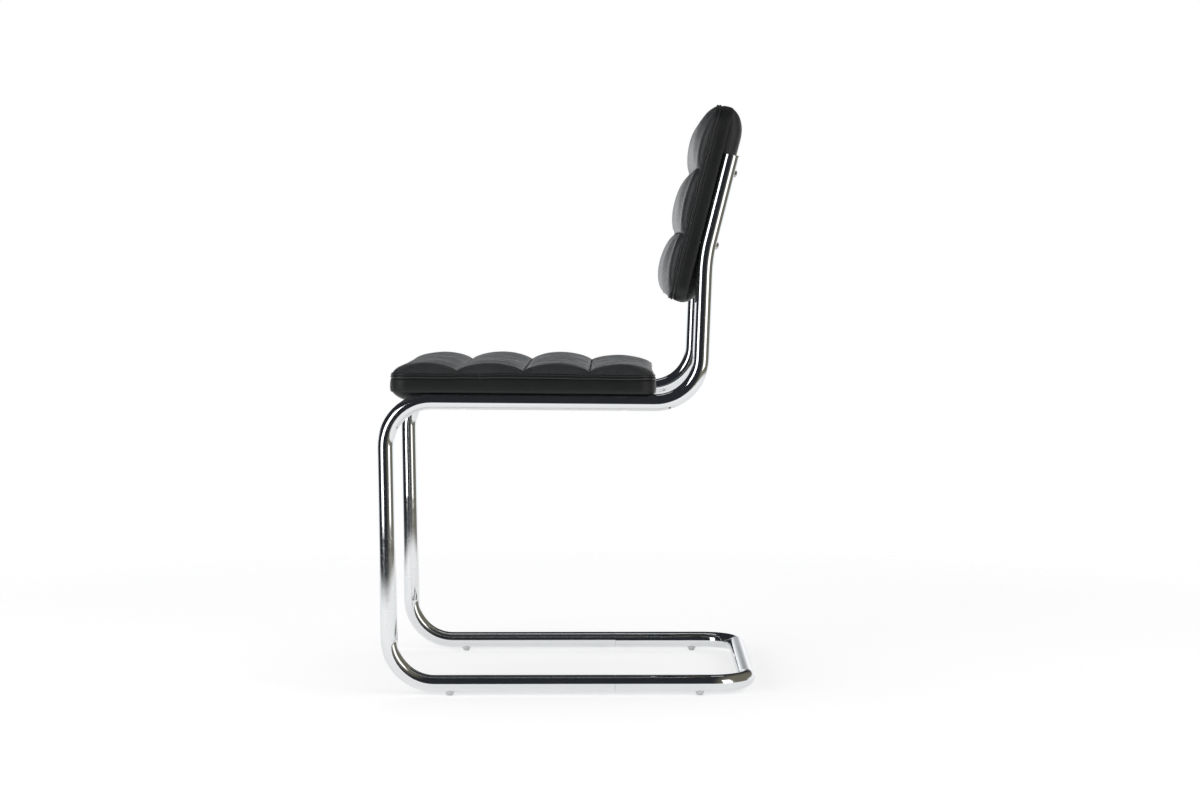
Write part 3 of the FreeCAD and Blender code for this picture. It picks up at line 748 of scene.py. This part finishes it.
FLOOR_R = 6.0
FLOOR_FADE_START = 1.15
FLOOR_FADE_END = 1.75
FLOOR_GLOW = 0.42
FLOOR_GLOW_IN_CHROME = 0.8


def seen_directly(tree, path):
    """1 for what the camera sees, also through something clear."""
    return maths(tree, "MAXIMUM", path.outputs["Is Camera Ray"], path.outputs["Is Transmission Ray"])


def floor():
    """Pale floor that glows to near white where the camera sees it, and fades out further off."""
    bm = bmesh.new()
    bmesh.ops.create_circle(bm, cap_ends=True, segments=96, radius=FLOOR_R)
    material, tree, shader = new_material("pale_floor")
    shader.inputs["Base Color"].default_value = (0.82, 0.82, 0.82, 1)
    shader.inputs["Roughness"].default_value = 1.0
    shader.inputs["Specular IOR Level"].default_value = 0.0
    output = tree.nodes["Material Output"]
    path = node(tree, "ShaderNodeLightPath")
    glow = node(tree, "ShaderNodeEmission", {"Color": (1, 1, 1, 1), "Strength": FLOOR_GLOW})
    none = node(tree, "ShaderNodeEmission", {"Color": (0, 0, 0, 1), "Strength": 0.0})
    mirrored = maths(tree, "MULTIPLY", path.outputs["Is Glossy Ray"], FLOOR_GLOW_IN_CHROME)
    seen = maths(tree, "MAXIMUM", seen_directly(tree, path), mirrored)
    lift = node(tree, "ShaderNodeMixShader", {0: seen, 1: none.outputs[0], 2: glow.outputs[0]})
    lit = node(tree, "ShaderNodeAddShader", {0: shader.outputs[0], 1: lift.outputs[0]})
    place = node(tree, "ShaderNodeSeparateXYZ", {0: object_coordinates(tree)})
    squares = maths(tree, "ADD", maths(tree, "MULTIPLY", place.outputs[0], place.outputs[0]),
                    maths(tree, "MULTIPLY", place.outputs[1], place.outputs[1]))
    distance = maths(tree, "SQRT", squares)
    fade = ranged(tree, distance, FLOOR_FADE_START, FLOOR_FADE_END, 0.0, 1.0, smooth=True)
    clear = node(tree, "ShaderNodeBsdfTransparent")
    whole = node(tree, "ShaderNodeMixShader", {0: fade, 1: lit.outputs[0], 2: clear.outputs[0]})
    tree.links.new(whole.outputs[0], output.inputs["Surface"])
    piece = piece_from(bm, "floor", material)


MATT_SKY = (0.62, 0.62, 0.63, 1)
ROOM_LEFT = (0.022, 0.024, 0.029, 1)
ROOM_RIGHT = (0.165, 0.155, 0.122, 1)
BACK_PANEL = (1.05, 1.07, 1.10, 1)


def surroundings():
    """White backdrop for the camera, a soft even sky for matt surfaces, and for shiny ones a dim room
    with a bright panel low down behind the chair."""
    world = bpy.data.worlds.new("studio")
    bpy.context.scene.world = world
    world.use_nodes = True
    tree = world.node_tree
    tree.nodes.clear()
    output = tree.nodes.new("ShaderNodeOutputWorld")
    path = node(tree, "ShaderNodeLightPath")
    generated = node(tree, "ShaderNodeTexCoord").outputs["Generated"]
    direction = node(tree, "ShaderNodeSeparateXYZ", {0: generated})
    behind = ranged(tree, direction.outputs[1], 0.25, 0.55, 0.0, 1.0, smooth=True)
    low = ranged(tree, direction.outputs[2], 0.04, 0.24, 1.0, 0.0, smooth=True)
    panel = maths(tree, "MULTIPLY", behind, low)
    rightward = ranged(tree, direction.outputs[0], 0.10, 0.60, 0.0, 1.0, smooth=True)
    dim = mixed(tree, rightward, ROOM_LEFT, ROOM_RIGHT)
    room = mixed(tree, panel, dim, BACK_PANEL)
    sky = mixed(tree, path.outputs["Is Glossy Ray"], MATT_SKY, room)
    colour = mixed(tree, seen_directly(tree, path), sky, (1, 1, 1, 1))
    background = node(tree, "ShaderNodeBackground", {"Color": colour, "Strength": 1.0})
    tree.links.new(background.outputs[0], output.inputs["Surface"])


def softbox(name, place, aim, width, height, radiance):
    """Rectangular lamp that faces a point, with its brightness given as that of its face."""
    light = bpy.data.lights.new(name, "AREA")
    light.shape = "RECTANGLE"
    light.size = width
    light.size_y = height
    light.energy = radiance * math.pi * width * height
    lamp = bpy.data.objects.new(name, light)
    lamp.location = place
    lamp.rotation_euler = (Vector(aim) - Vector(place)).to_track_quat("-Z", "Y").to_euler()
    lamp.visible_camera = False
    bpy.context.scene.collection.objects.link(lamp)


SOFTBOX_AWAY = 2.4
SOFTBOX_SIDE = math.radians(47)
SOFTBOX_WIDTH = 1.0
SOFTBOX_HEIGHT = 1.88
SOFTBOX_CENTRE = 0.95
STRIP_PLACE = (0, 0.95, 2.6)
STRIP_AIM = (0, 0, 0.4)


def lamps():
    """Tall softbox on each side of the camera, and a strip high up behind the chair."""
    for name, side, radiance in (("left_softbox", -1, 2.6), ("right_softbox", 1, 1.5)):
        place = (side * SOFTBOX_AWAY * math.sin(SOFTBOX_SIDE), -SOFTBOX_AWAY * math.cos(SOFTBOX_SIDE),
                 SOFTBOX_CENTRE)
        softbox(name, place, (0, 0, SOFTBOX_CENTRE), SOFTBOX_WIDTH, SOFTBOX_HEIGHT, radiance)
    softbox("top_strip", STRIP_PLACE, STRIP_AIM, 1.8, 0.30, 1.0)


CAMERA_EYE = Vector((0.07386, -3.97825, 0.65805))
CAMERA_PITCH = math.radians(3.393)
CAMERA_YAW = math.radians(0.3816)
CAMERA_ROLL = -0.00243
CAMERA_LENS = 77.45
SENSOR_WIDTH = 36.0


def camera():
    """Camera that sees the chair from its left side, nearly level."""
    data = bpy.data.cameras.new("camera")
    data.sensor_width = SENSOR_WIDTH
    data.lens = CAMERA_LENS
    data.clip_start = 0.1
    data.clip_end = 50.0
    shot = bpy.data.objects.new("camera", data)
    tilt = Matrix.Rotation(math.pi / 2 - CAMERA_PITCH, 4, "X")
    turn = Matrix.Rotation(CAMERA_YAW, 4, "Z") @ tilt @ Matrix.Rotation(CAMERA_ROLL, 4, "Z")
    shot.matrix_world = Matrix.Translation(CAMERA_EYE) @ turn
    bpy.context.scene.collection.objects.link(shot)
    bpy.context.scene.camera = shot


floor()
surroundings()
lamps()
camera()
bpy.context.scene.view_settings.view_transform = "Standard"
